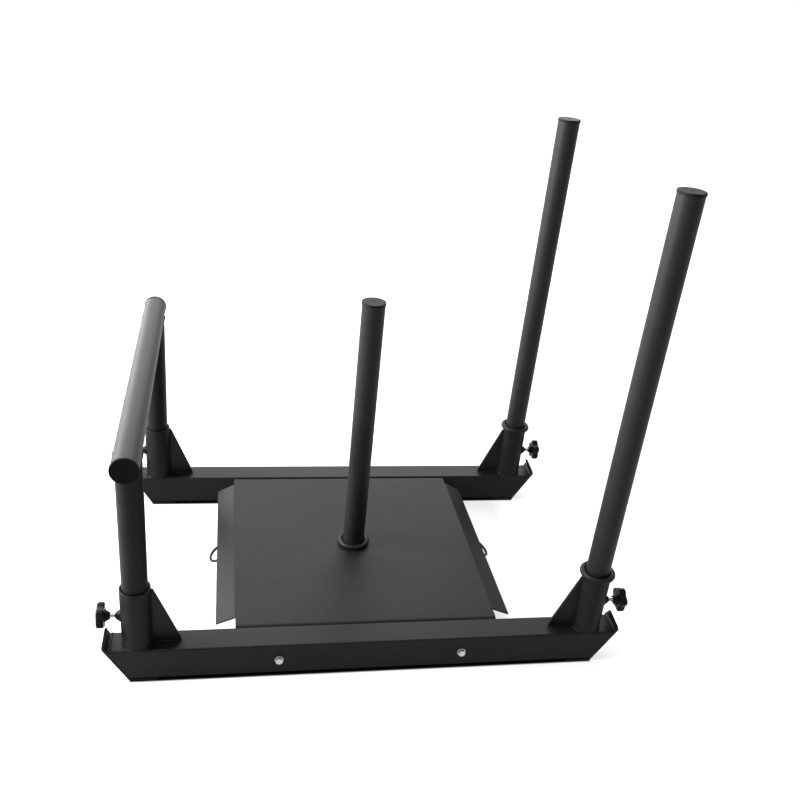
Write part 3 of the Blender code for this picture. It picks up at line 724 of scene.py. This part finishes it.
def tow_loop():
    """Round bar bent to a half ring that hangs from two legs under the right wing."""
    slope = Vector((cos(WING_ANGLE), 0, -sin(WING_ANGLE)))
    below = Vector((-sin(WING_ANGLE), 0, -cos(WING_ANGLE)))
    tilt = radians(35)
    under = Vector((-sin(tilt), 0, -cos(tilt)))
    edge = Vector((DECK_HALF, 0, DECK_TOP - 0.005)) - below * 0.005 + slope * WING_LENGTH
    centre = edge - slope * 0.004 + below * (DECK_SHEET + SEAM + 0.003)
    bend = 0.025
    leg = centre - slope * 0.016
    knee = centre - slope * 0.001
    obj = rod(0.003, leg + Vector((0, -bend, 0)), knee + Vector((0, -bend, 0)), 24)
    pick(lambda face: face.normal.dot(slope) > 0.999)
    kink = tilt - WING_ANGLE
    bpy.ops.mesh.extrude_region_move(TRANSFORM_OT_translate={"value": centre - knee})
    bpy.ops.transform.rotate(
        value=-kink, orient_axis="Y", center_override=centre + Vector((0, -bend, 0))
    )
    bpy.ops.mesh.spin(steps=32, angle=pi, center=centre, axis=under, use_auto_merge=False)
    bpy.ops.mesh.extrude_region_move(TRANSFORM_OT_translate={"value": knee - centre})
    bpy.ops.transform.rotate(
        value=kink, orient_axis="Y", center_override=knee + Vector((0, bend, 0))
    )
    bpy.ops.mesh.extrude_region_move(TRANSFORM_OT_translate={"value": leg - knee})
    soften(0.0006, 2, 60)
    beads = []
    for sign in (-1, 1):
        for face in (-1, 1):
            y = sign * bend + face * 0.0028
            path = [leg + slope * k + Vector((0, y, 0)) - below * 0.0026 for k in (0.001, 0.018)]
            beads.append(bead(path, 0.0015))
    return obj, beads


def hexagon(height, chamfer, hole=0.0):
    """A bolt head or nut along Z from 0 to its height, its corners turned to a cone on the top."""
    obj = rod(HEX_HALF / cos(pi / 6), (0, 0, 0), (0, 0, height), 6)
    cone = rod(HEX_HALF * 1.19, (0, 0, -0.001), (0, 0, height), 96)
    pick(lambda edge: all(v.co.z > height - 1e-5 for v in edge.verts), "EDGE")
    bpy.ops.mesh.bevel(offset=chamfer, segments=1)
    bpy.ops.object.mode_set(mode="OBJECT")
    carve(obj, cone, operation="INTERSECT")
    if hole:
        carve(obj, rod(hole, (0, 0, -0.01), (0, 0, height + 0.01), 32))
    soften(0.00015, 2, 25)
    return obj


def build_deck():
    """The deck, the socket below it, the tow loops and the bolts."""
    deck_coat = powder_coat("deck_powder_coat", grain=(0.25, 1.0, 1.0))
    finished(deck(), "deck", deck_coat, "sled_base", "deck_plate", angle=20)
    under = DECK_TOP - DECK_SHEET
    low = under - 0.0553
    piece = pipe(SOCKET_R, BORE_R, (0, 0, low), (0, 0, under - SEAM), 0.001)
    finished(piece, "post_socket", coat, "sled_base", "deck_socket")
    ring = arc(
        (0, 0, under - 0.001), SOCKET_R + 0.0008, 90, lambda a, r: (r * cos(a), r * sin(a), 0)
    )
    finished(bead(ring, 0.0023, closed=True), "post_socket_weld", weld_coat, "sled_base")

    loop, beads = tow_loop()
    for end, _, turn in ENDS:
        finished(copy_of(loop, turn), "towing_loop_" + end, coat, "sled_base", "tow_loop_" + end)
        for k, run in enumerate(beads):
            finished(copy_of(run, turn), f"towing_loop_weld_{end}_{k}", weld_coat, "sled_base")
    discard(loop, *beads)

    zinc = zinc_plate("bolt_zinc")
    head, nut = hexagon(0.0053, 0.0009), hexagon(0.0065, 0.0010, 0.0037)
    washer = pipe(0.0085, 0.0042, (0, 0, 0), (0, 0, 0.0016), 0.0002, 64)
    shank = thread(THREAD_R, 0.0, 0.01, THREAD_PITCH)
    shank.data.transform(Matrix.Rotation(-pi / 2, 4, "Y"))
    face = SKID_Y + SKID_WIDTH / 2
    for side, across in SIDES:
        out = Matrix.Rotation(-across * pi / 2, 4, "X")
        for end, along, _ in ENDS:
            name = side + "_" + end
            x = along * BOLT_X
            turn = Matrix.Rotation(radians(11 + 37 * along + 23 * across), 4, "Z")
            rows = (
                (head, "bolt_", face + 0.0022, ["deck_bolt_" + name]),
                (washer, "washer_", face + 0.0003, ["deck_washer_" + name]),
                (nut, "nut_", None, ["deck_nut_" + name]),
                (shank, "bolt_tail_", None, []),
            )
            for obj, title, at, nodes in rows:
                twin = copy_of(obj)
                flip = Matrix.Identity(4) if at else Matrix.Rotation(pi, 4, "X")
                distance = at or face - SKID_WIDTH - DECK_SHEET - 2 * SEAM
                twin.data.transform(
                    Matrix.Translation((x, across * distance, BOLT_Z)) @ out @ flip @ turn
                )
                finished(twin, title + name, zinc, "sled_base", *nodes)
    discard(head, nut, washer, shank)


# ---- posts, poles and the push bar ----

def cap(radius, thick):
    """Moulded cap along Z: a rounded flange with a gate mark on top and a plug below that fits the
    tube.
    """
    obj = rod(radius, (0, 0, SEAM), (0, 0, SEAM + thick), 96)
    pick(flat_end(Z_AXIS))
    bpy.ops.mesh.inset(thickness=0.0022)
    bpy.ops.mesh.inset(thickness=0.0100)
    bpy.ops.mesh.inset(thickness=0.0098)
    bpy.ops.mesh.inset(thickness=0.0007)
    bpy.ops.transform.translate(value=(0, 0, -0.0005))
    pick(lambda edge: edge.calc_face_angle(0) > radians(60) and middle_of_edge(edge).z > thick * 0.5
         and hypot(middle_of_edge(edge).x, middle_of_edge(edge).y) > radius * 0.9, "EDGE")
    bpy.ops.mesh.bevel(offset=0.0014, segments=5)
    pick(flat_end(-Z_AXIS))
    bpy.ops.mesh.inset(thickness=radius - TUBE_R + TUBE_WALL + 0.0003)
    bpy.ops.mesh.extrude_region_move(TRANSFORM_OT_translate={"value": (0, 0, -0.012)})
    bpy.ops.object.mode_set(mode="OBJECT")
    return obj


def stop_ring():
    """Round ring with a tacked foot, on its post."""
    clear_selection()
    bpy.ops.mesh.primitive_torus_add(
        major_radius=0.03005, minor_radius=0.00575, major_segments=128, minor_segments=28,
        location=(0, 0, 0.00605),
    )
    start_piece()
    pick(lambda vert: vert.co.z < 0.0007, "VERT")
    bpy.ops.transform.resize(value=(1, 1, 0.2), center_override=(0, 0, 0.0007))
    bpy.ops.object.mode_set(mode="OBJECT")
    return bpy.context.object


def build_posts():
    """The centre post and the push poles, with their caps and rings."""
    post_coat = powder_coat("post_powder_coat", grain=(1.0, 1.0, 0.15), sheen=0.165)
    cap_plastic = moulded_plastic("cap_plastic", 0.006, 0.56, 0.14, 0.06)
    ring, top = stop_ring(), cap(CAP_R, CAP_THICK)
    posts = [("centre_post", (0, 0), -0.054, DECK_TOP, 0.5835, "")]
    for side, across in SIDES:
        place = (SOCKET_X, across * SKID_Y)
        posts.append(("push_pole", place, POLE_FOOT_Z - SOCKET_TOP, SOCKET_TOP, 0.7772, "_" + side))
    for kind, (x, y), foot, seat, height, tail in posts:
        body = kind + tail
        low, high = (x, y, seat + foot), (x, y, seat + height)
        piece = pipe(TUBE_R, TUBE_R - TUBE_WALL, low, high, 0.0004, 128)
        finished(piece, kind + "_tube" + tail, post_coat, body, kind + tail)
        piece = copy_of(top, 0, high)
        finished(piece, kind + "_end" + tail, cap_plastic, body, kind + "_cap" + tail)
        piece = copy_of(ring, 0, (x, y, seat))
        finished(piece, kind + "_collar" + tail, coat, body, kind + "_ring" + tail)
    discard(ring, top)


def build_push_bar():
    """The cross tube on its two legs, with its plugs."""
    bar_coat = powder_coat("bar_powder_coat", grain=(1.0, 0.15, 1.0), sheen=0.19)
    leg_coat = powder_coat("leg_powder_coat", grain=(1.0, 1.0, 0.15), sheen=0.10)
    plug_plastic = moulded_plastic("plug_plastic", 0.003, 0.5, 0.2, 0.04)
    near, far = (-SOCKET_X, -BAR_HALF, BAR_Z), (-SOCKET_X, BAR_HALF, BAR_Z)
    piece = pipe(TUBE_R, TUBE_R - TUBE_WALL, near, far, 0.0004, 128)
    finished(piece, "cross_tube", bar_coat, "push_bar", "push_bar_tube")
    plug = cap(CAP_R, CAP_THICK)

    def saddle(angle, radius):
        return (radius * cos(angle), radius * sin(angle), -radius * abs(sin(angle)))

    for side, across in SIDES:
        y = across * SKID_Y
        low, high = (-SOCKET_X, y, SKID_TOP + SEAM), (-SOCKET_X, y, BAR_Z - 0.004)
        piece = pipe(TUBE_R, TUBE_R - TUBE_WALL, low, high, 0.0, 128)
        finished(piece, "bar_leg_" + side, leg_coat, "push_bar", "push_bar_upright_" + side)
        path = arc((-SOCKET_X, y, BAR_Z), TUBE_R + 0.0006, 180, saddle)
        finished(bead(path, 0.0020, closed=True), "bar_weld_" + side, weld_coat, "push_bar")
        twin = copy_of(plug)
        spot = Matrix.Translation((-SOCKET_X, across * BAR_HALF, BAR_Z))
        twin.data.transform(spot @ Matrix.Rotation(-across * pi / 2, 4, "X"))
        finished(twin, "bar_plug_" + side, plug_plastic, "push_bar", "push_bar_cap_" + side)
    discard(plug)


# ---- floor, light and camera ----

def paper_floor():
    """Pale paper seen white by the camera and gloss, with the sled's cast shade and a painted
    shadow under each skid.
    """
    paper = Finish("floor_paper")

    def climb(value, start, end):
        ranges = {"Value": value, "From Min": start, "From Max": end}
        return paper.add("ShaderNodeMapRange", {"interpolation_type": "SMOOTHSTEP"}, ranges)

    def axis(label):
        return paper.add("ShaderNodeSeparateXYZ", None, {"Vector": paper.place}, out=label)

    def size(value):
        return paper.add("ShaderNodeMath", {"operation": "ABSOLUTE"}, {0: value})

    x, y = size(axis("X")), size(axis("Y"))
    length = {"operation": "LENGTH"}
    distance = paper.add("ShaderNodeVectorMath", length, {0: paper.place}, out="Value")
    across = size(y - SKID_Y)
    # Painted shadow mask: 0 in each skid's footprint, where the paper is painted near black and its
    # glow is cut, 1 elsewhere.
    outside_painted_shadow = 1 - (1 - climb(across, 0.0290, 0.0340)) * (1 - climb(x, 0.466, 0.472))
    rays = paper.nodes.new("ShaderNodeLightPath")
    seen = Wire(paper, rays.outputs["Is Camera Ray"]) + Wire(paper, rays.outputs["Is Glossy Ray"])
    glow = seen * outside_painted_shadow * (0.66 + climb(distance, 0.6, 2.6) * 0.34)
    paper.done(
        # The near-black base colour inside the skids' footprint is a painted shadow.
        Base_Color=paper.mix(outside_painted_shadow, (0.01, 0.01, 0.01, 1), (0.34, 0.34, 0.34, 1)),
        Roughness=0.9,
        Specular_IOR_Level=0.0,
        Emission_Color=paper.mix(glow, 0.0, 1.0),
        Emission_Strength=1.0,
    )
    return paper.material


def build_studio():
    """The floor, the white backdrop and the four softboxes."""
    clear_selection()
    bpy.ops.mesh.primitive_plane_add(size=80, location=(0, 0, 0))
    floor = bpy.context.object
    floor.name = "floor"
    floor.data.materials.append(paper_floor())

    world = bpy.data.worlds.new("studio")
    bpy.context.scene.world = world
    world.use_nodes = True
    nodes, links = world.node_tree.nodes, world.node_tree.links
    nodes.clear()
    rays = nodes.new("ShaderNodeLightPath")
    either = nodes.new("ShaderNodeMath")
    either.operation = "MAXIMUM"
    links.new(rays.outputs["Is Camera Ray"], either.inputs[0])
    links.new(rays.outputs["Is Glossy Ray"], either.inputs[1])
    any_of = nodes.new("ShaderNodeMath")
    any_of.operation = "MAXIMUM"
    links.new(either.outputs[0], any_of.inputs[0])
    links.new(rays.outputs["Is Transmission Ray"], any_of.inputs[1])
    light, backdrop = nodes.new("ShaderNodeBackground"), nodes.new("ShaderNodeBackground")
    light.inputs["Color"].default_value = (1, 1, 1, 1)
    light.inputs["Strength"].default_value = 0.28
    backdrop.inputs["Color"].default_value = (1, 1, 1, 1)
    backdrop.inputs["Strength"].default_value = 1.0
    blend = nodes.new("ShaderNodeMixShader")
    links.new(any_of.outputs[0], blend.inputs[0])
    links.new(light.outputs[0], blend.inputs[1])
    links.new(backdrop.outputs[0], blend.inputs[2])
    out = nodes.new("ShaderNodeOutputWorld")
    links.new(blend.outputs[0], out.inputs[0])

    for name, place, aim, size, power in (
        ("softbox_back", (-0.4, 3.4, 3.05), (0, 0, 0.2), (6.0, 3.8), 345),
        ("softbox_rear", (-2.4, 3.0, 1.0), (0, 0, 0.5), (1.6, 1.0), 78),
        ("softbox_top", (-0.8, -0.6, 3.0), (0, 0, 0.2), (0.8, 0.8), 44),
        ("softbox_left", (-3.3, 0.1, 1.6), (0.4, 0.0, 0.8), (1.5, 0.8), 560),
    ):
        lamp = bpy.data.lights.new(name, "AREA")
        lamp.shape = "RECTANGLE"
        lamp.size, lamp.size_y = size
        lamp.energy = power
        obj = bpy.data.objects.new(name, lamp)
        bpy.context.scene.collection.objects.link(obj)
        obj.location = place
        obj.rotation_euler = (Vector(aim) - Vector(place)).to_track_quat("-Z", "Y").to_euler()
        obj.visible_camera = False


def build_camera():
    """The photograph's viewpoint and lens, as fitted."""
    lens = bpy.data.cameras.new("camera")
    lens.sensor_width = 36
    lens.lens = 40.475
    lens.shift_x, lens.shift_y = 0.01154, 0.01817
    lens.clip_end = 60
    camera = bpy.data.objects.new("camera", lens)
    bpy.context.scene.collection.objects.link(camera)
    camera.location = (-0.2894, -1.6636, 1.3049)
    camera.rotation_euler = (radians(62.022), radians(-5.226), radians(-9.0))
    bpy.context.scene.camera = camera
    bpy.context.scene.view_settings.view_transform = "Standard"


build_skids()
build_sockets()
build_deck()
build_posts()
build_push_bar()
build_studio()
build_camera()

bpy.context.view_layer.update()
